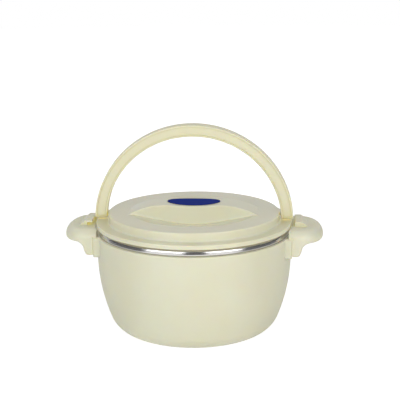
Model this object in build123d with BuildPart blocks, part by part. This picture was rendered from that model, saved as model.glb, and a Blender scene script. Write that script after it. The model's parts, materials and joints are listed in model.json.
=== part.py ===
from build123d import *

import os
from math import asin, cos, degrees, radians, tan

# An insulated casserole for flat breads, in millimetres: +Z up, the base on z = 0, the lid's and
# the pot's axis on Z, the side handles along X.

os.makedirs("parts", exist_ok=True)

# ---- Driving dimensions ----------------------------------------------------------------------

# Outer shell of the pot
body_radius = 106.7  # where its wall is upright
shell_top = 109.7
bow_drop = 24.3  # the wall is upright this far down from its top
bow_radius = 187.5  # and bows in on this radius below that
base_corner = 26.0  # radius between the wall and the base
shell_wall = 2.5
shell_edge = 1.0  # rounding of the top edge
foot_depth = 1.5  # the base is hollowed by this much inside its foot ring
foot_width = 8.0  # the flat ring it stands on

# Steel pan, rolled over the shell's neck
pan_inset = 15.1  # from the shell's outside to the pan's
pan_floor = 13.0
pan_corner = 18.0
pan_sheet = 0.6
rim_inset = 1.5  # from the shell's outside to the rim's
rim_drop = 7.0  # depth of the rim's folded skirt
rim_lift = 0.6  # from the shell's top edge to the skirt
rim_bend = 3.2
pan_lip = 2.4  # bend from the pan's wall into its rim

# Neck of the shell, inside the rim's skirt, and the seal on it
neck_wall = 2.6
neck_gap = 0.8
neck_taper = 4.0  # height over which the shell's wall thickens inwards to the neck
seal_height = 2.6
seal_overlap = 0.5

# Flat pads that carry the handles
pad_stand = 0.8  # from the shell's outside to the pad's face
pad_half_width = 38.4
pad_drop = 21.7  # below the shell's top edge
pad_rise = 1.2  # above the shell's top edge
pad_round = 3.0
pad_edge = 1.6  # rounding around the pad's face
pad_rim_gap = 0.9

# Foam filler hole and its plug
plug_radius = 9.0
plug_flange = 13.0
plug_flange_height = 1.2
plug_fit = 0.1

# Side handles
handle_half_width = 39.4
handle_depth = 34.1  # from the pad's face to the ear's tip
ear_straight = 6.9  # from the pad's face to where the ear's plan turns round
ear_fullness = 0.63  # of the plan's corners: 0.55 would make them elliptical
ear_lift = 9.4  # from the shell's top edge to the ear's top
ear_height = 13.7
ear_top_round = 10.0
ear_bottom_round = 2.5
handle_seat = 0.1
lip_reach = 4.0  # of the ear's inner edge, over the pad and beside the lid
lip_gap = 0.3  # from the pad's top to the lip
lid_clearance = 1.2  # around the lid's flange
stem_lift = 3.0  # from the pad's bottom to the stem's
stem_foot = 7.3  # thickness of the stem at its lower end
stem_slope = 2.6  # what its outer face gains up to the bend
stem_bend = 8.5  # hollow bend from the stem into the ear
stem_round = 3.5
ear_wall = 3.0
ear_pocket_gap = 5.5  # from the stem's face to the pocket
rib_offset = 11.5
rib_width = 2.0

# Latch hub on each handle: its slot is open towards the lid and at one end
hub_half_width = 17.0
hub_height = 5.2
hub_step = 3.1  # from the handle's back to the hub
hub_flat = 7.2
hub_ramp = 6.8
hub_slot_height = 3.0
hub_slot_depth = 5.6
hub_slot_end = 2.5  # wall that closes the slot's other end
hub_round = 0.8

# Handle screws, driven from inside the shell
screw_offset = 22.0
screw_drop = 11.7  # below the shell's top edge
screw_radius = 1.45
screw_head_radius = 3.0
screw_head_height = 2.0
screw_length = 11.5
screw_seat = 4.5  # from the pad's face to the screw head's seat
screw_clearance = 0.2
screw_hole_rest = 0.5  # the hole in the handle is this much deeper than the screw

# Lid cover
lid_gap = 0.5  # from the pan's rim to the flange
flange_overhang = 2.2  # beyond the pan's rim
flange_height = 4.8
flange_skin = 2.5
flange_round = 1.0
ledge_width = 13.4  # of the flange, around the plate's wall
plate_rise = 9.3  # from the flange to the plate
plate_round = 1.5
plate_foot_round = 0.9
lid_wall = 2.5

# Dish in the plate, with the grip's bridge across it
dish_border = 25.3  # of the plate, around the dish
dish_slope = 0.21
grip_half_width = 19.3
grip_draft = 4.5  # degrees
grip_overlap = 1.7  # of the grip's tips beyond the dish
grip_height = 10.5
grip_shoulder = 30.0  # the grip is highest this far to each side of its middle
grip_dip = 1.0  # and this much lower in the middle
grip_round = 1.2

# Steel liner and gasket under the lid
liner_gap = 2.4  # from the pan's inside
liner_drop = 5.0  # below the pan's rim
liner_sheet = 0.6
liner_corner = 4.0
liner_flange = 3.1
gasket_inset = 5.4  # from the pan's outside
gasket_width = 4.5
gasket_fit = 0.2
gasket_rib = 1.6
gasket_rib_drop = 2.0
block_depth = 17.5  # the cover's inner webs reach this far below the plate

# Badge on the grip
badge_length = 58.0
badge_width = 30.4
badge_thickness = 0.6
badge_film = 0.15  # of glue under it

# Bail and its pivots
bail_play = 1.9  # from the plate's radius to the bail's inner arc
bail_thickness = 13.2
bail_sink = 11.0  # from the plate down to the inner arc's centre
bail_shift = 0.5  # from there down to the outer arc's centre
bail_width = 12.6
bail_round = 1.2
bail_lean = 3.6  # degrees forward of upright, as it stands at rest
foot_gap = 2.1  # between the foot and the flange
foot_round = 3.0
panel_border = 1.8
panel_end = 2.6
panel_depth = 0.8
pivot_drop = 2.4  # from the plate down to the pivot's axis
pin_radius = 1.5
pin_hold = 7.0  # length held behind the lid's wall
pin_length = 19.0
pin_chamfer = 0.4
pin_press = 0.0
pin_play = 0.08
pin_end_gap = 0.6
boss_depth = 9.5  # behind the lid's wall
boss_half_width = 5.0
boss_below = 5.0  # from the pivot's axis to the boss's underside

# ---- Places worked out from them -------------------------------------------------------------

bow_axis = body_radius - bow_radius
bow_height = shell_top - bow_drop
pan_radius = body_radius - pan_inset
rim_radius = body_radius - rim_inset
neck_radius = rim_radius - pan_sheet - neck_gap
neck_bore = neck_radius - neck_wall
rim_top = shell_top + rim_lift + rim_drop
rim_underside = rim_top - pan_sheet
neck_top = rim_underside - seal_height
pad_reach = body_radius + pad_stand
pad_bottom = shell_top - pad_drop
pad_root = (body_radius**2 - pad_half_width**2) ** 0.5 - shell_wall
flange_radius = rim_radius + flange_overhang
flange_bottom = rim_top + lid_gap
flange_top = flange_bottom + flange_height
plate_radius = flange_radius - ledge_width
plate_top = flange_top + plate_rise
plate_underside = plate_top - lid_wall
lid_bore = plate_radius - lid_wall
web_bottom = plate_top - block_depth
dish_radius = plate_radius - dish_border
grip_half_length = dish_radius + grip_overlap
crown_end_radius = ((grip_half_length - grip_shoulder) ** 2 + grip_height**2) / (2 * grip_height)
crown_radii = (grip_shoulder**2 + grip_dip**2) / (2 * grip_dip)  # the dip's arc and an end's together
crown_dip_radius = crown_radii - crown_end_radius
crown_turn = degrees(asin(grip_shoulder / crown_radii))
liner_radius = pan_radius - pan_sheet - liner_gap
gasket_inner = pan_radius + gasket_inset
gasket_top = flange_top - flange_skin
handle_reach = pad_reach + handle_depth
handle_round_start = pad_reach + ear_straight
ear_top = shell_top + ear_lift
ear_bottom = ear_top - ear_height
handle_back = pad_reach + handle_seat
lip_start = handle_back - lip_reach
lip_bottom = shell_top + pad_rise + lip_gap
hub_inner = handle_back + hub_step
stem_bottom = pad_bottom + stem_lift
stem_top_x = handle_back + stem_foot + stem_slope
ear_pocket_start = stem_top_x + ear_pocket_gap
screw_height = shell_top - screw_drop
screw_seat_x = pad_reach - screw_seat
pivot_height = plate_top - pivot_drop
pin_start = lid_bore - pin_hold
boss_start = lid_bore - boss_depth
bail_foot = flange_top + foot_gap
bail_inner_radius = plate_radius + bail_play
bail_radius = bail_inner_radius + bail_thickness
bail_inner_centre = plate_top - bail_sink
bail_centre = bail_inner_centre - bail_shift
sides = {"right": 1, "left": -1}


def bucket_corner(inset, floor, corner):
    """Where a bucket's wall meets its floor: the wall's lean there, and the flat floor's radius."""
    bow = bow_radius - inset
    lean = asin((bow_height - floor - corner) / (bow - corner))
    return lean, bow_axis + (bow - corner) * cos(lean)


def bucket_wall(inset, floor, corner, top):
    """Half of a bucket's section: from the middle of its floor, up its bowed wall, to the top."""
    bow = bow_radius - inset
    lean, corner_axis = bucket_corner(inset, floor, corner)
    Line((0, floor), (corner_axis, floor))
    CenterArc((corner_axis, floor + corner), corner, -90, 90 - degrees(lean))
    CenterArc((bow_axis, bow_height), bow, -degrees(lean), degrees(lean))
    Line((bow_axis + bow, bow_height), (bow_axis + bow, top))


def turned(*points, rounds=()):
    """A closed outline in (radius, height), spun about Z; rounds holds (corner, radius) pairs."""
    with BuildPart() as spun:
        with BuildSketch(Plane.XZ) as section:
            with BuildLine():
                Polyline(*points, close=True)
            make_face()
            for corner, radius in rounds:
                fillet(section.vertices().sort_by_distance(corner)[0], radius)
        revolve(axis=Axis.Z)
    return spun.part


def rod(radius, start, length, y, z):
    """A round bar along +X from x = start."""
    with BuildPart() as bar:
        with BuildSketch(Plane.YZ.offset(start)):
            with Locations((y, z)):
                Circle(radius)
        extrude(amount=length)
    return bar.part


def finish(piece, name):
    """Names a piece and writes its file."""
    piece.part.label = name
    export_step(piece.part, f"parts/{name}.step")


# ---- Handle screws: the pot's other pieces are bored for them ---------------------------------


def handle_screw(y, grow=0.0):
    """One screw of the right handle, head inwards; grow makes it the hole it needs."""
    head = rod(screw_head_radius + grow, screw_seat_x - screw_head_height, screw_head_height, y, screw_height)
    shank = rod(screw_radius + grow, screw_seat_x, screw_length, y, screw_height)
    with BuildPart() as screw:
        add(head)
        add(shank)
    return screw.part


screw_places = (-screw_offset, screw_offset)

# ---- Outer shell -------------------------------------------------------------------------------

with BuildPart() as outer_shell:
    with BuildSketch(Plane.XZ):
        with BuildLine():
            bucket_wall(0, 0, base_corner, shell_top)
            Line((body_radius, shell_top), (0, shell_top))
            Line((0, shell_top), (0, 0))
        make_face()
    revolve(axis=Axis.Z)
    fillet(outer_shell.edges().group_by(Axis.Z)[-1], shell_edge)
    pad_height = shell_top + pad_rise - pad_bottom
    for side in sides.values():
        with BuildSketch(Plane.YZ.offset(side * pad_reach)):
            with Locations((0, pad_bottom + pad_height / 2)):
                RectangleRounded(2 * pad_half_width, pad_height, pad_round)
        extrude(amount=-side * (pad_reach - pad_root))
        pad_face = outer_shell.faces().sort_by(Axis.X)[-1 if side > 0 else 0]
        fillet(pad_face.edges(), pad_edge)
    with BuildSketch(Plane.XY.offset(shell_top)):
        Circle(rim_radius + pad_rim_gap)
    extrude(amount=pad_rise, mode=Mode.SUBTRACT)
    # The neck stands inside the rim's skirt, and the wall thickens inwards below it.
    with BuildSketch(Plane.XY.offset(shell_top - neck_taper)):
        Circle(neck_radius)
    extrude(amount=neck_top - shell_top + neck_taper)
    with BuildSketch(Plane.XZ):
        with BuildLine():
            inner_floor = foot_depth + shell_wall
            taper_start = shell_top - 2 * neck_taper
            bucket_wall(shell_wall, inner_floor, base_corner - inner_floor, taper_start)
            Polyline(
                (body_radius - shell_wall, taper_start),
                (neck_bore, shell_top - neck_taper),
                (neck_bore, neck_top),
                (0, neck_top),
                (0, inner_floor),
            )
        make_face()
    revolve(axis=Axis.Z, mode=Mode.SUBTRACT)
    flat_radius = bucket_corner(0, 0, base_corner)[1]
    with BuildSketch():
        Circle(flat_radius - foot_width)
    extrude(amount=foot_depth, mode=Mode.SUBTRACT)
    with BuildSketch():
        Circle(plug_radius)
    extrude(amount=inner_floor, mode=Mode.SUBTRACT)
    for y in screw_places:
        through = rod(screw_radius + screw_clearance, neck_bore - 20, pad_reach, y, screw_height)
        spot_face = rod(screw_head_radius + 2 * screw_clearance, neck_bore - 20,
                        screw_seat_x - neck_bore + 20, y, screw_height)
        for tool in (through, spot_face):
            add(tool, mode=Mode.SUBTRACT)
            add(tool.mirror(Plane.YZ), mode=Mode.SUBTRACT)
finish(outer_shell, "outer_shell")

# ---- Steel pan, with its rolled rim ------------------------------------------------------------

with BuildPart() as inner_pan:
    with BuildSketch(Plane.XZ) as pan_section:
        with BuildLine():
            bucket_wall(pan_inset, pan_floor, pan_corner, rim_underside)
            Polyline(
                (pan_radius, rim_underside),
                (rim_radius - pan_sheet, rim_underside),
                (rim_radius - pan_sheet, rim_top - rim_drop),
                (rim_radius, rim_top - rim_drop),
                (rim_radius, rim_top),
                (0, rim_top),
                (0, pan_floor),
            )
        make_face()
        with BuildLine():
            bucket_wall(pan_inset + pan_sheet, pan_floor + pan_sheet, pan_corner - pan_sheet, rim_top)
            Line((pan_radius - pan_sheet, rim_top), (0, rim_top))
            Line((0, rim_top), (0, pan_floor + pan_sheet))
        make_face(mode=Mode.SUBTRACT)
        for corner, radius in (
            ((rim_radius, rim_top), rim_bend),
            ((rim_radius - pan_sheet, rim_underside), rim_bend - pan_sheet),
            ((pan_radius - pan_sheet, rim_top), pan_lip),
            ((pan_radius, rim_underside), pan_lip - pan_sheet),
        ):
            fillet(pan_section.vertices().sort_by_distance(corner)[0], radius)
    revolve(axis=Axis.Z)
finish(inner_pan, "inner_pan")

# ---- Rim seal between the shell's neck and the pan's rim ----------------------------------------

rim_seal = BuildPart()
with rim_seal:
    add(turned(
        (neck_bore - seal_overlap, neck_top),
        (neck_radius, neck_top),
        (neck_radius, rim_underside),
        (neck_bore - seal_overlap, rim_underside),
        rounds=(((neck_radius, rim_underside), rim_bend - pan_sheet - neck_gap),),
    ))
finish(rim_seal, "rim_seal")

# ---- Handle screws ------------------------------------------------------------------------------

with BuildPart() as right_handle_screws:
    for y in screw_places:
        add(handle_screw(y))
finish(right_handle_screws, "right_handle_screws")

with BuildPart() as left_handle_screws:
    add(right_handle_screws.part.mirror(Plane.YZ))
finish(left_handle_screws, "left_handle_screws")

# ---- Foam in the pot: it fills what the shell, pan and screws leave -----------------------------

with BuildPart() as body_foam:
    with BuildSketch(Plane.XY.offset(inner_floor)):
        Circle(body_radius)
    extrude(amount=neck_top - inner_floor)
    with BuildSketch(Plane.XZ):
        with BuildLine():
            bucket_wall(pan_inset, pan_floor, pan_corner, rim_top)
            Line((pan_radius, rim_top), (0, rim_top))
            Line((0, rim_top), (0, pan_floor))
        make_face()
    revolve(axis=Axis.Z, mode=Mode.SUBTRACT)
    with BuildSketch(Plane.XZ):
        with BuildLine():
            bucket_wall(shell_wall, inner_floor, base_corner - inner_floor, taper_start)
            Polyline(
                (body_radius - shell_wall, taper_start),
                (neck_bore, shell_top - neck_taper),
                (neck_bore, neck_top),
                (0, neck_top),
                (0, inner_floor),
            )
        make_face()
    revolve(axis=Axis.Z, mode=Mode.INTERSECT)
    for y in screw_places:
        pocket = handle_screw(y)
        add(pocket, mode=Mode.SUBTRACT)
        add(pocket.mirror(Plane.YZ), mode=Mode.SUBTRACT)
finish(body_foam, "body_foam")

# ---- Plug in the base ---------------------------------------------------------------------------

plug_bottom = foot_depth - plug_flange_height
fill_plug = BuildPart()
with fill_plug:
    with BuildSketch(Plane.XY.offset(plug_bottom)):
        Circle(plug_flange)
    extrude(amount=plug_flange_height)
    with BuildSketch(Plane.XY.offset(foot_depth)):
        Circle(plug_radius - plug_fit)
    extrude(amount=shell_wall)
finish(fill_plug, "fill_plug")

# ---- Side handles -------------------------------------------------------------------------------


def ear_outline(inset):
    """The ear from above, from its inner lip: straight sides, then a full, blunt nose."""
    half = handle_half_width - inset
    reach = handle_reach - inset
    bulge = ear_fullness * (reach - handle_round_start)
    for y in (half, -half):
        Polyline((lip_start, 0), (lip_start, y), (handle_round_start, y))
        Bezier(
            (handle_round_start, y),
            (handle_round_start + bulge, y),
            (reach, ear_fullness * y),
            (reach, 0),
        )


with BuildPart() as ear_pocket:
    with BuildSketch(Plane.XY.offset(ear_bottom)):
        with BuildLine():
            ear_outline(ear_wall)
        make_face()
        with Locations((ear_pocket_start - handle_reach / 2, 0)):
            Rectangle(handle_reach, 3 * handle_half_width, mode=Mode.SUBTRACT)
        for y in (-rib_offset, rib_offset):
            with Locations((handle_reach, y)):
                Rectangle(handle_reach, rib_width, mode=Mode.SUBTRACT)
    extrude(amount=ear_height - ear_wall)

with BuildPart() as right_handle:
    # Side view: the stem against the pad, and its hollow bend into the ear's underside
    with BuildSketch(Plane.XZ) as handle_section:
        with BuildLine():
            Polyline(
                (stem_top_x + stem_bend, ear_bottom),
                (handle_reach + stem_bend, ear_bottom),
                (handle_reach + stem_bend, ear_top),
                (lip_start, ear_top),
                (lip_start, lip_bottom),
                (handle_back, lip_bottom),
                (handle_back, stem_bottom),
                (handle_back + stem_foot, stem_bottom),
                (stem_top_x, ear_bottom - stem_bend),
            )
            CenterArc((stem_top_x + stem_bend, ear_bottom - stem_bend), stem_bend, 90, 90)
        make_face()
        foot_corner = (handle_back + stem_foot, stem_bottom)
        fillet(handle_section.vertices().sort_by_distance(foot_corner)[0], stem_round)
    extrude(amount=handle_half_width + stem_bend, both=True)
    # Seen from above, it is cut to the ear's plan.
    with BuildSketch(Plane.XY.offset(stem_bottom - stem_bend)):
        with BuildLine():
            ear_outline(0)
        make_face()
    extrude(amount=ear_top - stem_bottom + 2 * stem_bend, mode=Mode.INTERSECT)
    side_edges = right_handle.edges().filter_by(Axis.Y, reverse=True)
    side_edges = side_edges.filter_by(lambda e: e.center().X > handle_back + 1)
    fillet(side_edges.group_by(Axis.Z)[-1], ear_top_round)
    side_edges = right_handle.edges().filter_by(Axis.Y, reverse=True)
    side_edges = side_edges.filter_by(lambda e: e.center().X > handle_back + 1)
    fillet(side_edges.filter_by(lambda e: e.center().Z < ear_bottom + 1), ear_bottom_round)
    # The lip keeps clear of the lid's flange.
    with BuildSketch(Plane.XY.offset(lip_bottom)):
        Circle(flange_radius + lid_clearance)
    extrude(amount=ear_height, mode=Mode.SUBTRACT)
    # Finger pocket, open below
    add(ear_pocket.part, mode=Mode.SUBTRACT)
    # Latch hub
    hub_root = ear_top - hub_round
    hub_top = ear_top + hub_height
    hub_edge = hub_inner + hub_flat
    with BuildSketch(Plane.XZ) as hub_section:
        with BuildLine():
            Polyline(
                (hub_inner, hub_root),
                (hub_edge + hub_ramp, hub_root),
                (hub_edge + hub_ramp, ear_top),
                (hub_edge, hub_top),
                (hub_inner, hub_top),
                close=True,
            )
        make_face()
        fillet(hub_section.vertices().sort_by_distance((hub_edge, hub_top))[0], 3 * hub_round)
        fillet(hub_section.vertices().sort_by_distance((hub_inner, hub_top))[0], hub_round)
    extrude(amount=hub_half_width, both=True)
    with BuildSketch(Plane.XY.offset(ear_top)):
        with Locations((hub_inner, hub_slot_end)):
            Rectangle(2 * hub_slot_depth, 2 * hub_half_width)
    extrude(amount=hub_slot_height, mode=Mode.SUBTRACT)
    for y in screw_places:
        add(rod(screw_radius, pad_reach, screw_length - screw_seat + screw_hole_rest, y, screw_height),
            mode=Mode.SUBTRACT)
finish(right_handle, "right_handle")

# The two handles are the same moulding, half a turn apart.
with BuildPart() as left_handle:
    add(right_handle.part.rotate(Axis.Z, 180))
finish(left_handle, "left_handle")

# ---- Lid cover ----------------------------------------------------------------------------------


def crown_outline(grow):
    """The grip's front view above the plate: a shallow dip between two long bows."""
    end_height = plate_top + grip_height - crown_end_radius
    end_radius = crown_end_radius + grow
    tip_angle = degrees(asin((plate_top - end_height) / end_radius))
    sweep = 90 + crown_turn - tip_angle
    dip_height = plate_top + grip_height - grip_dip + crown_dip_radius
    tip = grip_shoulder + end_radius * cos(radians(tip_angle))
    CenterArc((grip_shoulder, end_height), end_radius, tip_angle, sweep)
    CenterArc((0, dip_height), crown_dip_radius - grow, -90 - crown_turn, 2 * crown_turn)
    CenterArc((-grip_shoulder, end_height), end_radius, 90 - crown_turn, sweep)
    Line((-tip, plate_top), (tip, plate_top))


def grip_bridge(grow):
    """The grip's bridge across the dish, its skin moved outwards by grow."""
    foot = web_bottom
    crown = plate_top + grip_height + 5
    lean = tan(radians(grip_draft))
    foot_half = grip_half_width + grow + (plate_top - foot) * lean
    crown_half = grip_half_width + grow - (crown - plate_top) * lean
    with BuildPart() as bridge:
        with BuildSketch(Plane.XZ):
            with BuildLine():
                crown_outline(grow)
            make_face()
            with Locations((0, (plate_top + foot) / 2)):
                Rectangle(2 * (grip_half_length + grow), plate_top - foot)
        extrude(amount=2 * grip_half_width, both=True)
        with BuildSketch(Plane.YZ):
            with BuildLine():
                Polyline((-foot_half, foot), (foot_half, foot), (crown_half, crown), (-crown_half, crown),
                         close=True)
            make_face()
        extrude(amount=grip_half_length + 5, both=True, mode=Mode.INTERSECT)
    return bridge.part


def pivot_boss(side):
    """The block behind the lid's wall that holds a pivot pin."""
    with BuildPart() as boss:
        with Locations((side * (boss_start + lid_bore + 1) / 2, 0, pivot_height)):
            Box(lid_bore + 1 - boss_start, 2 * boss_half_width, 2 * boss_below)
    return boss.part


dish_depth = dish_slope * dish_radius
core_bottom = flange_bottom - 3 * liner_drop
core_turned = turned(
    (0, core_bottom),
    (lid_bore, core_bottom),
    (lid_bore, plate_underside),
    (dish_radius, plate_underside),
    (0, plate_underside - dish_depth),
)
with BuildPart() as lid_core:
    add(core_turned)
    add(grip_bridge(-lid_wall))
    for side in sides.values():
        add(pivot_boss(side), mode=Mode.SUBTRACT)

gasket_outer = gasket_inner + gasket_width
cover_block = turned(
    (0, web_bottom),
    (lid_bore, web_bottom),
    (lid_bore, gasket_top),
    (gasket_inner - gasket_fit - gasket_rib, gasket_top),
    (gasket_inner - gasket_fit - gasket_rib, gasket_top - gasket_rib_drop),
    (gasket_inner - gasket_fit, gasket_top - gasket_rib_drop),
    (gasket_inner - gasket_fit, gasket_top),
    (gasket_outer + gasket_fit, gasket_top),
    (gasket_outer + gasket_fit, flange_bottom),
    (flange_radius, flange_bottom),
    (flange_radius, flange_top),
    (plate_radius, flange_top),
    (plate_radius, plate_top),
    (0, plate_top),
    rounds=(
        ((flange_radius, flange_bottom), flange_round),
        ((flange_radius, flange_top), flange_round),
        ((plate_radius, flange_top), plate_foot_round),
        ((plate_radius, plate_top), plate_round),
    ),
)
dish = turned((0, plate_top - dish_depth), (dish_radius, plate_top), (0, plate_top))
rounded_bridge = BuildPart()
with rounded_bridge:
    add(grip_bridge(0))
    crown_edges = rounded_bridge.edges().filter_by(lambda e: e.center().Z > plate_top + grip_height / 2)
    fillet(crown_edges.filter_by(Axis.Y, reverse=True), grip_round)

with BuildPart() as lid_cover:
    add(cover_block)
    add(dish, mode=Mode.SUBTRACT)
    add(rounded_bridge.part)
    add(lid_core.part, mode=Mode.SUBTRACT)
    for side in sides.values():
        bore = rod(pin_radius + pin_press, pin_start, plate_radius, 0, pivot_height)
        add(bore if side > 0 else bore.mirror(Plane.YZ), mode=Mode.SUBTRACT)
finish(lid_cover, "lid_cover")

# ---- Lid liner ----------------------------------------------------------------------------------

liner_floor = rim_top - liner_drop
liner_inner = liner_radius - liner_sheet
lid_liner = BuildPart()
with lid_liner:
    add(turned(
        (0, liner_floor),
        (liner_radius, liner_floor),
        (liner_radius, gasket_top - liner_sheet),
        (lid_bore + liner_flange, gasket_top - liner_sheet),
        (lid_bore + liner_flange, gasket_top),
        (liner_inner, gasket_top),
        (liner_inner, liner_floor + liner_sheet),
        (0, liner_floor + liner_sheet),
        rounds=(
            ((liner_radius, liner_floor), liner_corner),
            ((liner_inner, liner_floor + liner_sheet), liner_corner - liner_sheet),
        ),
    ))
finish(lid_liner, "lid_liner")

# ---- Foam in the lid: it fills what the cover and liner leave -----------------------------------

with BuildPart() as lid_foam:
    add(turned(
        (0, liner_floor + liner_sheet),
        (liner_inner, liner_floor + liner_sheet),
        (liner_inner, gasket_top),
        (lid_bore, gasket_top),
        (lid_bore, plate_top + grip_height),
        (0, plate_top + grip_height),
        rounds=(((liner_inner, liner_floor + liner_sheet), liner_corner - liner_sheet),),
    ))
    add(lid_core.part, mode=Mode.INTERSECT)
finish(lid_foam, "lid_foam")

# ---- Lid gasket ---------------------------------------------------------------------------------

with BuildPart() as lid_gasket:
    with BuildSketch(Plane.XY.offset(rim_top)):
        Circle(gasket_outer)
        Circle(gasket_inner, mode=Mode.SUBTRACT)
    extrude(amount=gasket_top - rim_top)
finish(lid_gasket, "lid_gasket")

# ---- Badge on the grip --------------------------------------------------------------------------

with BuildPart() as lid_badge:
    with BuildSketch(Plane.XZ):
        with BuildLine():
            crown_outline(badge_film + badge_thickness)
        make_face()
        with BuildLine():
            crown_outline(badge_film)
        make_face(mode=Mode.SUBTRACT)
    extrude(amount=badge_width, both=True)
    with BuildSketch(Plane.XY.offset(plate_top)):
        Ellipse(badge_length / 2, badge_width / 2)
    extrude(amount=2 * grip_height, mode=Mode.INTERSECT)
finish(lid_badge, "lid_badge")

# ---- Pivot pins ---------------------------------------------------------------------------------

with BuildPart() as right_pivot_pin:
    add(rod(pin_radius, pin_start, pin_length, 0, pivot_height))
    chamfer(right_pivot_pin.edges().filter_by(GeomType.CIRCLE), pin_chamfer)
finish(right_pivot_pin, "right_pivot_pin")

with BuildPart() as left_pivot_pin:
    add(right_pivot_pin.part.mirror(Plane.YZ))
finish(left_pivot_pin, "left_pivot_pin")

# ---- Bail ---------------------------------------------------------------------------------------


def bail_face(inset, foot):
    """The bail's front view, inset from its edges and cut off level at the foot."""
    with Locations((0, bail_centre)):
        Circle(bail_radius - inset)
    with Locations((0, bail_inner_centre)):
        Circle(bail_inner_radius + inset, mode=Mode.SUBTRACT)
    with Locations((0, foot - bail_radius)):
        Rectangle(3 * bail_radius, 2 * bail_radius, mode=Mode.SUBTRACT)


with BuildPart() as bail_handle:
    with BuildSketch(Plane.XZ):
        bail_face(0, bail_foot)
    extrude(amount=bail_width / 2, both=True)
    foot_edges = bail_handle.edges().filter_by(Axis.X).group_by(Axis.Z)[0]
    fillet(foot_edges, foot_round)
    rim_edges = bail_handle.edges().filter_by(lambda e: e.length > bail_inner_radius)
    fillet(rim_edges, bail_round)
    for side in (-1, 1):
        with BuildSketch(Plane.XZ.offset(side * (bail_width / 2 - panel_depth))):
            bail_face(panel_border, bail_foot + panel_end)
        extrude(amount=side * panel_depth, mode=Mode.SUBTRACT)
    bore = rod(pin_radius + pin_play, pin_start, pin_length + pin_end_gap, 0, pivot_height)
    add(bore, mode=Mode.SUBTRACT)
    add(bore.mirror(Plane.YZ), mode=Mode.SUBTRACT)
pivot_axis = Axis((0, 0, pivot_height), (1, 0, 0))
bail_handle.part = bail_handle.part.rotate(pivot_axis, bail_lean)
finish(bail_handle, "bail_handle")
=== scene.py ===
import json
from math import cos, pi, radians, sin

import bmesh
import bpy
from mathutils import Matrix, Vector


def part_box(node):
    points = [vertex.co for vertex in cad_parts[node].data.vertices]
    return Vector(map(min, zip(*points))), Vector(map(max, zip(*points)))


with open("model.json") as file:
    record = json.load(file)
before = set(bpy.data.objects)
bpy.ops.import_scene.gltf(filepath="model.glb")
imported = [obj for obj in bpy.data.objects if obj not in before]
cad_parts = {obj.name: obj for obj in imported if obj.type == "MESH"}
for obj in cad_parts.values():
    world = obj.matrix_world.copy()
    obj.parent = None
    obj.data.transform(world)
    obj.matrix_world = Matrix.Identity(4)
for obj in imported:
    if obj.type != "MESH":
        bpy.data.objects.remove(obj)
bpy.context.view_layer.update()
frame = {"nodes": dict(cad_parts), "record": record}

# An insulated casserole on a pale floor, in metres. Its solids are loaded ready made; this file
# gives them their finishes, and sets up the floor, the light and the camera.

MM = 0.001

# Places on the object, read from the solids
PLATE_ABOVE_PIN = 3.9 * MM  # the lid's plate, above the underside of a pivot pin
SKIRT_DEPTH = 5.0 * MM  # from the rim's top down to where its rolled skirt turns under
plate_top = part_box("left_pivot_pin")[0][2] + PLATE_ABOVE_PIN
rim_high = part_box("inner_pan")[1]
rim_radius = rim_high[0]
rim_top = rim_high[2]
skirt_crest = rim_top - SKIRT_DEPTH
badge_low, badge_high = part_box("lid_badge")

# ---- Camera ------------------------------------------------------------------------------------

IMAGE_SIDE = 400  # pixels
FOCAL_PIXELS = 1100
PIXEL = 1.1 * MM  # one pixel, at the casserole's axis
CAMERA_DISTANCE = FOCAL_PIXELS * PIXEL  # from the middle of the lid's plate
CAMERA_AZIMUTH = radians(4.0)  # towards the right handle
CAMERA_ELEVATION = radians(14.27)
CAMERA_ROLL = radians(-0.55)
PLATE_PLACE = (193.95, 210.65)  # pixels across and down to the plate's middle
SENSOR = 36.0  # millimetres


def add_camera():
    toward_camera = Vector((
        sin(CAMERA_AZIMUTH) * cos(CAMERA_ELEVATION),
        -cos(CAMERA_AZIMUTH) * cos(CAMERA_ELEVATION),
        sin(CAMERA_ELEVATION),
    ))
    data = bpy.data.cameras.new("camera")
    data.sensor_width = SENSOR
    data.lens = SENSOR * FOCAL_PIXELS / IMAGE_SIDE
    data.shift_x = (IMAGE_SIDE / 2 - PLATE_PLACE[0]) / IMAGE_SIDE
    data.shift_y = (PLATE_PLACE[1] - IMAGE_SIDE / 2) / IMAGE_SIDE
    camera = bpy.data.objects.new("camera", data)
    camera.location = Vector((0, 0, plate_top)) + toward_camera * CAMERA_DISTANCE
    camera.rotation_euler = (-toward_camera).to_track_quat("-Z", "Y").to_euler()
    camera.rotation_euler.rotate_axis("Z", CAMERA_ROLL)
    bpy.context.collection.objects.link(camera)
    bpy.context.scene.camera = camera


# ---- Shader nodes ------------------------------------------------------------------------------

OPENNESS_SAMPLES = 8


class Socket:
    """A shader node's output, on which arithmetic adds Math nodes."""

    def __init__(self, finish, output):
        self.finish = finish
        self.output = output

    def maths(self, operation, first, second):
        return self.finish.node("ShaderNodeMath", {"operation": operation}, {0: first, 1: second})

    def __add__(self, other):
        return self.maths("ADD", self, other)

    def __radd__(self, other):
        return self.maths("ADD", other, self)

    def __sub__(self, other):
        return self.maths("SUBTRACT", self, other)

    def __rsub__(self, other):
        return self.maths("SUBTRACT", other, self)

    def __mul__(self, other):
        return self.maths("MULTIPLY", self, other)

    def __rmul__(self, other):
        return self.maths("MULTIPLY", other, self)

    def __pow__(self, other):
        return self.maths("POWER", self, other)

    def __rpow__(self, other):
        return self.maths("POWER", other, self)

    def at_least(self, other):
        return self.maths("MAXIMUM", self, other)


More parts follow.
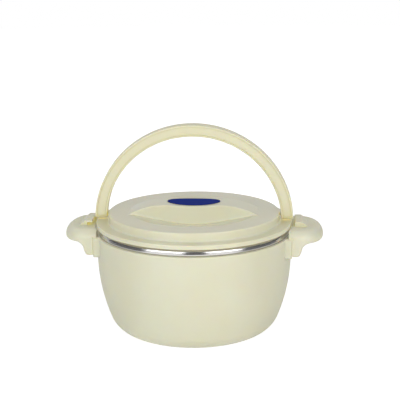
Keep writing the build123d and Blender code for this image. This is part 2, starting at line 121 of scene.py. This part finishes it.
class Finish:
    """The shader nodes of one material, or of the world."""

    def __init__(self, owner):
        owner.use_nodes = True
        self.owner = owner
        self.tree = owner.node_tree
        self.tree.nodes.clear()

    def node(self, kind, settings, sockets, output=0):
        """Adds a node, sets it up, then gives its sockets their values or links."""
        made = self.tree.nodes.new(kind)
        for name, value in settings.items():
            setattr(made, name, value)
        for name, value in sockets.items():
            if isinstance(value, Socket):
                self.tree.links.new(value.output, made.inputs[name])
            else:
                made.inputs[name].default_value = value
        return Socket(self, made.outputs[output]) if made.outputs else None

    def place(self):
        return self.node("ShaderNodeTexCoord", {}, {}, "Object")

    def along(self, vector, axis):
        return self.node("ShaderNodeSeparateXYZ", {}, {0: vector}, axis)

    def joined(self, x, y, z):
        return self.node("ShaderNodeCombineXYZ", {}, {0: x, 1: y, 2: z})

    def stretched(self, vector, scale):
        return self.node("ShaderNodeVectorMath", {"operation": "MULTIPLY"}, {0: vector, 1: scale})

    def noise(self, vector, scale, detail=2.0, roughness=0.5):
        sockets = {"Vector": vector, "Scale": scale, "Detail": detail, "Roughness": roughness}
        return self.node("ShaderNodeTexNoise", {}, sockets)

    def ramp(self, value, start, end, low=0.0, high=1.0):
        """A smooth step from low to high as the value goes from start to end."""
        settings = {"interpolation_type": "SMOOTHSTEP"}
        sockets = {0: value, 1: start, 2: end, 3: low, 4: high}
        return self.node("ShaderNodeMapRange", settings, sockets)

    def blend(self, share, first, second):
        """One colour turning into another as the share goes from 0 to 1."""
        return self.node("ShaderNodeMix", {"data_type": "RGBA"}, {0: share, 6: first, 7: second}, 2)

    def bump(self, height, distance, under=None):
        sockets = {"Height": height, "Distance": distance, "Strength": 1.0}
        if under:
            sockets["Normal"] = under
        return self.node("ShaderNodeBump", {}, sockets)

    def openness(self, distance, only_local=False):
        """How open the space within a distance is: 1 on a bare surface, 0 deep in a gap."""
        settings = {"samples": OPENNESS_SAMPLES, "only_local": only_local}
        return self.node("ShaderNodeAmbientOcclusion", settings, {"Distance": distance}, "AO")

    def radius_and_turn(self, place):
        """Distance from the casserole's axis, and the angle around it."""
        x = self.along(place, "X")
        y = self.along(place, "Y")
        radius = (x * x + y * y) ** 0.5
        return radius, self.node("ShaderNodeMath", {"operation": "ARCTAN2"}, {0: y, 1: x})

    def surface(self, sockets):
        shader = self.node("ShaderNodeBsdfPrincipled", {}, sockets)
        self.close(shader)

    def close(self, shader):
        is_world = isinstance(self.owner, bpy.types.World)
        kind = "ShaderNodeOutputWorld" if is_world else "ShaderNodeOutputMaterial"
        self.node(kind, {}, {"Surface": shader})


def paint(red, green, blue):
    return (red, green, blue, 1.0)


def grey(value):
    return paint(value, value, value)


def shaded(colour, shares):
    """A colour with its red, green and blue each scaled by its own share."""
    return paint(*[part * share for part, share in zip(colour, shares)])


# ---- Finishes ----------------------------------------------------------------------------------

PAINTED_GAP_SHADE = paint(0.60, 0.47, 0.19)  # painted shade: the ochre given to cream plastic deep in a gap above the rim
PAINTED_GAP_LIGHT = paint(0.31, 0.28, 0.05)  # painted light: an emitted glow in gaps round the lid
PAINTED_HUB_SLOT_LIGHT = paint(0.23, 0.23, 0.06)  # and in the slots of the handles' hubs, where it is greener
PAINTED_LOW_GAP_LIGHT = paint(0.17, 0.17, 0.16)  # and in gaps below the rim
NO_PAINTED_LIGHT = grey(0.0)

CLOUD_SHARES = (0.985, 0.97, 0.93)  # what is left of the cream in the flow clouds
CORNER_SHADE_FADE = (0.14, 0.15, 0.32)  # painted shade: what a corner takes from its red, green and blue
CORNER_SHADE_OPENNESS = (0.99, 0.66)  # where a corner's painted shade starts, and where it is full
PAINTED_GAP_OPENNESS = (0.62, 0.2)  # where a gap's painted shade and painted light start, and where they are full

SPUN_LINES = 2600.0  # noise scale across the lines on the steel
SKIRT_SLOPE = -0.16  # of the rim's skirt above its crest, in mm per mm
SKIRT_CURL = 0.2  # below the crest, where the sheet curls in


def cream_plastic(name, cream, base_roughness, grain_depth, crevice, painted_corner_shade, high_painted_light):
    """Moulded polypropylene: fine spark-eroded grain, faint flow clouds, painted shade and light.

    The crevice is how far apart the walls of a gap may be. Corners get painted shade, and gaps
    a painted ochre shade and a painted glow; the high painted light is the glow above the rim.
    """
    finish = Finish(bpy.data.materials.new(name))
    place = finish.place()
    clouds = finish.noise(place, 22.0, 3.0)
    flow = finish.noise(finish.stretched(place, (60.0, 60.0, 9.0)), 1.0, 4.0, 0.6)
    warm = shaded(cream, CLOUD_SHARES)
    # Painted shade in corners: the cream darkens there; a negative value paints light into them
    # instead
    corner = shaded(cream, [1 - fade * painted_corner_shade for fade in CORNER_SHADE_FADE])
    colour = finish.blend(finish.ramp(clouds * 0.7 + flow * 0.3, 0.3, 0.7), paint(*cream), warm)
    in_corner = finish.ramp(finish.openness(crevice, only_local=True), *CORNER_SHADE_OPENNESS)
    colour = finish.blend(in_corner, colour, corner)
    # Painted shade and painted light: how deep a point lies in a gap, which turns the cream ochre
    # above the rim and makes it glow
    depth = finish.ramp(finish.openness(crevice), *PAINTED_GAP_OPENNESS)
    above_rim = finish.ramp(finish.along(place, "Z"), rim_top - 1.0 * MM, rim_top + 3.0 * MM)
    # Painted light: a faint glow in gaps below the rim, and the high painted light above it
    glow = finish.blend(above_rim, PAINTED_LOW_GAP_LIGHT, high_painted_light)
    # painted shade: deep in gaps above the rim the cream turns ochre
    colour = finish.blend(depth * above_rim, colour, PAINTED_GAP_SHADE)
    grain = finish.noise(place, 1900.0, 2.0, 0.6)
    sink = finish.noise(place, 26.0, 1.0)
    handled = finish.noise(place, 55.0, 5.0, 0.65)
    roughness = base_roughness + (handled - 0.5) * 0.08 + (grain - 0.5) * 0.08
    relief = finish.bump(sink, 0.05 * MM)
    relief = finish.bump(grain, grain_depth, relief)
    finish.surface({
        "Base Color": colour,
        "Roughness": roughness,
        "Normal": relief,
        "IOR": 1.49,
        "Subsurface Weight": 0.4,
        "Subsurface Radius": (0.006, 0.004, 0.0015),
        "Subsurface Scale": 1.0,
        # painted light: gaps glow
        "Emission Color": finish.blend(depth, NO_PAINTED_LIGHT, glow),
        "Emission Strength": 1.0,
    })
    return finish.owner


def polished_steel():
    """Spun and buffed stainless sheet: fine lines round the axis, a rolled skirt on the rim."""
    finish = Finish(bpy.data.materials.new("polished steel"))
    place = finish.place()
    radius, turn = finish.radius_and_turn(place)
    height = finish.along(place, "Z")
    across = finish.joined(radius * SPUN_LINES, height * SPUN_LINES, turn * 2.5)
    rings = finish.noise(across, 1.0, 3.0, 0.7)
    hazy = finish.noise(place, 34.0, 4.0)
    skirt = finish.ramp(radius, rim_radius - 3.2 * MM, rim_radius - 1.0 * MM)
    above = (height - skirt_crest).at_least(0.0) * (1 / MM)
    below = (skirt_crest - height).at_least(0.0) * (1 / MM)
    roll = (above * SKIRT_SLOPE - below * below * SKIRT_CURL) * skirt
    relief = finish.bump(roll, 1.0 * MM)
    relief = finish.bump(rings, 0.004 * MM, relief)
    finish.surface({
        "Base Color": finish.blend(hazy, paint(0.66, 0.65, 0.64), paint(0.58, 0.57, 0.565)),
        "Metallic": 1.0,
        "Roughness": 0.09 + rings * 0.10 + hazy * 0.05,
        "Normal": relief,
    })
    return finish.owner


def zinc_plate():
    """Plated steel wire and screws, with faint drawing marks."""
    finish = Finish(bpy.data.materials.new("zinc plate"))
    place = finish.place()
    marks = finish.noise(finish.stretched(place, (120.0, 2400.0, 2400.0)), 1.0, 3.0)
    bloom = finish.noise(place, 320.0, 3.0)
    finish.surface({
        "Base Color": finish.blend(bloom, paint(0.62, 0.63, 0.64), paint(0.52, 0.53, 0.50)),
        "Metallic": 1.0,
        "Roughness": 0.26 + marks * 0.16,
        "Normal": finish.bump(marks, 0.01 * MM),
    })
    return finish.owner


def milky_silicone():
    """Seal rubber: milky, matt, with a fine moulded grain and dust in it."""
    finish = Finish(bpy.data.materials.new("milky silicone"))
    place = finish.place()
    milk = finish.noise(place, 90.0, 3.0)
    grain = finish.noise(place, 2400.0, 2.0)
    finish.surface({
        "Base Color": finish.blend(milk, paint(0.74, 0.73, 0.68), paint(0.66, 0.65, 0.58)),
        "Roughness": 0.55 + grain * 0.2,
        "Normal": finish.bump(grain, 0.02 * MM),
        "Subsurface Weight": 0.25,
        "Subsurface Radius": (0.003, 0.003, 0.002),
        "Subsurface Scale": 1.0,
    })
    return finish.owner


def rigid_foam():
    """Poured polyurethane: small cells under a skin, darker where it cured hotter."""
    finish = Finish(bpy.data.materials.new("rigid foam"))
    place = finish.place()
    cells = finish.node("ShaderNodeTexVoronoi", {}, {"Vector": place, "Scale": 900.0}, "Distance")
    cured = finish.noise(place, 40.0, 4.0)
    finish.surface({
        "Base Color": finish.blend(cured, paint(0.86, 0.78, 0.54), paint(0.74, 0.60, 0.33)),
        "Roughness": 0.9 - cells * 0.1,
        "Normal": finish.bump(cells, 0.25 * MM),
    })
    return finish.owner


def blue_badge():
    """A bare oval badge: deep blue print under a satin film, with a slightly raised edge."""
    finish = Finish(bpy.data.materials.new("blue badge"))
    place = finish.place()
    half_length = (badge_high[0] - badge_low[0]) / 2
    half_width = (badge_high[1] - badge_low[1]) / 2
    x = finish.along(place, "X") * (1 / half_length)
    y = finish.along(place, "Y") * (1 / half_width)
    out = (x * x + y * y) ** 0.5
    edge = finish.ramp(out, 0.9, 0.965)
    film = finish.noise(place, 800.0, 3.0)
    print_cloud = finish.noise(place, 90.0, 3.0)
    blue = finish.blend(print_cloud, paint(0.001, 0.016, 0.20), paint(0.002, 0.022, 0.235))
    finish.surface({
        "Base Color": finish.blend(edge * 0.5, blue, paint(0.003, 0.014, 0.15)),
        "Roughness": 0.42 + film * 0.12,
        "Normal": finish.bump(film * 0.15 + edge, 0.08 * MM),
        "Specular IOR Level": 0.01,
    })
    return finish.owner


# ---- Floor, backdrop and light -----------------------------------------------------------------

FLOOR_RADIUS = 4.0
FLOOR_ALBEDO = 0.92  # for the light that the floor sends back
FLOOR_SHADE = 0.4  # for the shadow that shows on it
FLOOR_GLOW = 0.84  # under the casserole, rising to 1 at the backdrop
PAINTED_REFLECTION_DIMMING = 0.52  # painted reflection: how much darker the floor beside and behind the casserole shows in gloss
ROOM_LIGHT = 0.40  # the even fill
LIGHT_AIM = 0.1  # the height that the softboxes face


def seen_directly(finish):
    """1 for rays from the camera, from a gloss or through glass, which all meet a white room."""
    rays = [finish.node("ShaderNodeLightPath", {}, {}, f"Is {kind} Ray")
            for kind in ("Camera", "Glossy", "Transmission")]
    return rays[0].at_least(rays[1]).at_least(rays[2])


def add_shape(name, shape):
    """Turns a bmesh into an object of the scene."""
    mesh = bpy.data.meshes.new(name)
    shape.to_mesh(mesh)
    shape.free()
    made = bpy.data.objects.new(name, mesh)
    bpy.context.collection.objects.link(made)
    return made


def add_floor():
    """A white table top that keeps the casserole's soft shadow and fades into the backdrop.

    In gloss it is painted darker beside and behind the casserole than in front of it.
    """
    shape = bmesh.new()
    bmesh.ops.create_circle(shape, cap_ends=True, segments=96, radius=FLOOR_RADIUS)
    floor = add_shape("floor", shape)
    finish = Finish(bpy.data.materials.new("white floor"))
    radius, turn = finish.radius_and_turn(finish.place())
    glow = finish.ramp(radius, 0.25, 0.9, FLOOR_GLOW, 1.0)
    from_front = finish.node("ShaderNodeMath", {"operation": "ABSOLUTE"}, {0: turn + pi / 2})
    beside = finish.ramp(from_front, radians(46.0), radians(56.0))
    in_gloss = finish.node("ShaderNodeLightPath", {}, {}, "Is Glossy Ray")
    # Painted reflection: beside and behind the casserole, the floor is darker in gloss rays only
    grey_level = glow - in_gloss * beside * PAINTED_REFLECTION_DIMMING
    lit = finish.node("ShaderNodeEmission", {}, {"Color": grey_level})
    matt = finish.node("ShaderNodeBsdfDiffuse", {}, {"Color": grey(FLOOR_SHADE)})
    shown = finish.node("ShaderNodeAddShader", {}, {0: lit, 1: matt})
    bounce = finish.node("ShaderNodeBsdfDiffuse", {}, {"Color": grey(FLOOR_ALBEDO)})
    choice = {0: seen_directly(finish), 1: bounce, 2: shown}
    finish.close(finish.node("ShaderNodeMixShader", {}, choice))
    floor.data.materials.append(finish.owner)


def add_room():
    """The world: white where it is seen, and a low even fill where it lights."""
    world = bpy.data.worlds.new("room")
    bpy.context.scene.world = world
    finish = Finish(world)
    strength = seen_directly(finish) * (1 - ROOM_LIGHT) + ROOM_LIGHT
    white = {"Color": grey(1.0), "Strength": strength}
    finish.close(finish.node("ShaderNodeBackground", {}, white))


def toward(azimuth, distance, height):
    """A place around the casserole; azimuth 0 is in front of it and 90 to its right, in degrees."""
    return Vector((sin(radians(azimuth)) * distance, -cos(radians(azimuth)) * distance, height))


def add_softbox(name, azimuth, distance, height, width, tall, radiance, tint=(1.0, 1.0, 1.0)):
    data = bpy.data.lights.new(name, "AREA")
    data.shape = "RECTANGLE"
    data.size = width
    data.size_y = tall
    data.energy = radiance * pi * width * tall
    data.color = tint
    lamp = bpy.data.objects.new(name, data)
    lamp.location = toward(azimuth, distance, height)
    backward = lamp.location - Vector((0, 0, LIGHT_AIM))
    lamp.rotation_euler = backward.to_track_quat("Z", "Y").to_euler()
    lamp.visible_camera = False
    bpy.context.collection.objects.link(lamp)


def add_card(name, start, end, brightness, distance, bottom, top):
    """A studio card, curved round the casserole, that only shows in its gloss."""
    steps = 16
    shape = bmesh.new()
    columns = []
    for step in range(steps + 1):
        azimuth = start + (end - start) * step / steps
        columns.append([shape.verts.new(toward(azimuth, distance, z)) for z in (bottom, top)])
    for left, right in zip(columns, columns[1:]):
        shape.faces.new((left[0], right[0], right[1], left[1]))
    card = add_shape(name, shape)
    finish = Finish(bpy.data.materials.new(name))
    finish.close(finish.node("ShaderNodeEmission", {}, {"Color": grey(brightness)}))
    card.data.materials.append(finish.owner)
    card.visible_camera = False
    card.visible_diffuse = False
    card.visible_shadow = False
    card.visible_transmission = False


# ---- Putting it together -----------------------------------------------------------------------

CREAM = (0.715, 0.705, 0.55)
BAIL_CREAM = (0.745, 0.72, 0.53)
SHELL_NODES = ("outer_shell", "fill_plug")
FRONT_SOFTBOX = {"distance": 1.30, "height": 0.55, "width": 1.0, "tall": 0.5, "radiance": 4.15}
BACK_SOFTBOX = {"distance": 1.40, "height": 1.05, "width": 0.8, "tall": 0.8, "radiance": 1.2}
CARD_SIZE = {"distance": 1.0, "bottom": -0.3, "top": 1.1}

finishes = {
    "body_plastic": cream_plastic(
        "body plastic", CREAM, base_roughness=0.42, grain_depth=0.010 * MM,
        crevice=6.0 * MM, painted_corner_shade=0.4, high_painted_light=PAINTED_HUB_SLOT_LIGHT),
    # The lid's negative corner value paints light into its corners instead of shade
    "lid_plastic": cream_plastic(
        "lid plastic", CREAM, base_roughness=0.18, grain_depth=0.003 * MM,
        crevice=3.5 * MM, painted_corner_shade=-0.35, high_painted_light=PAINTED_GAP_LIGHT),
    "bail_plastic": cream_plastic(
        "bail plastic", BAIL_CREAM, base_roughness=0.36, grain_depth=0.006 * MM,
        crevice=3.5 * MM, painted_corner_shade=1.0, high_painted_light=PAINTED_GAP_LIGHT),
    "steel": polished_steel(),
    "hardware": zinc_plate(),
    "seal": milky_silicone(),
    "foam": rigid_foam(),
    "badge": blue_badge(),
}
shell_plastic = cream_plastic(
    "shell plastic", CREAM, base_roughness=0.42, grain_depth=0.010 * MM,
    crevice=3.5 * MM, painted_corner_shade=0.2, high_painted_light=PAINTED_LOW_GAP_LIGHT)
for subpart in frame["record"]["subparts"]:
    node = frame["nodes"][subpart["node"]]
    in_shell = subpart["node"] in SHELL_NODES
    finish = shell_plastic if in_shell else finishes[subpart["material_slot"]]
    node.data.materials.clear()
    node.data.materials.append(finish)

add_room()
add_floor()
add_camera()
add_softbox("left softbox", -30.0, tint=(0.98, 1.0, 1.0), **FRONT_SOFTBOX)
add_softbox("right softbox", 39.0, tint=(1.0, 0.98, 0.96), **FRONT_SOFTBOX)
for side in (-1, 1):
    add_softbox(f"back softbox {side}", 180 + side * 55.0, **BACK_SOFTBOX)
add_card("left flag", -111.0, -52.0, brightness=0.14, **CARD_SIZE)
add_card("front flag", -8.0, 17.0, brightness=0.12, **CARD_SIZE)
add_card("right flag", 58.0, 140.0, brightness=0.14, **CARD_SIZE)
add_card("back card", 140.0, 249.0, brightness=0.75, **CARD_SIZE)

view = bpy.context.scene.view_settings
view.view_transform = "Standard"
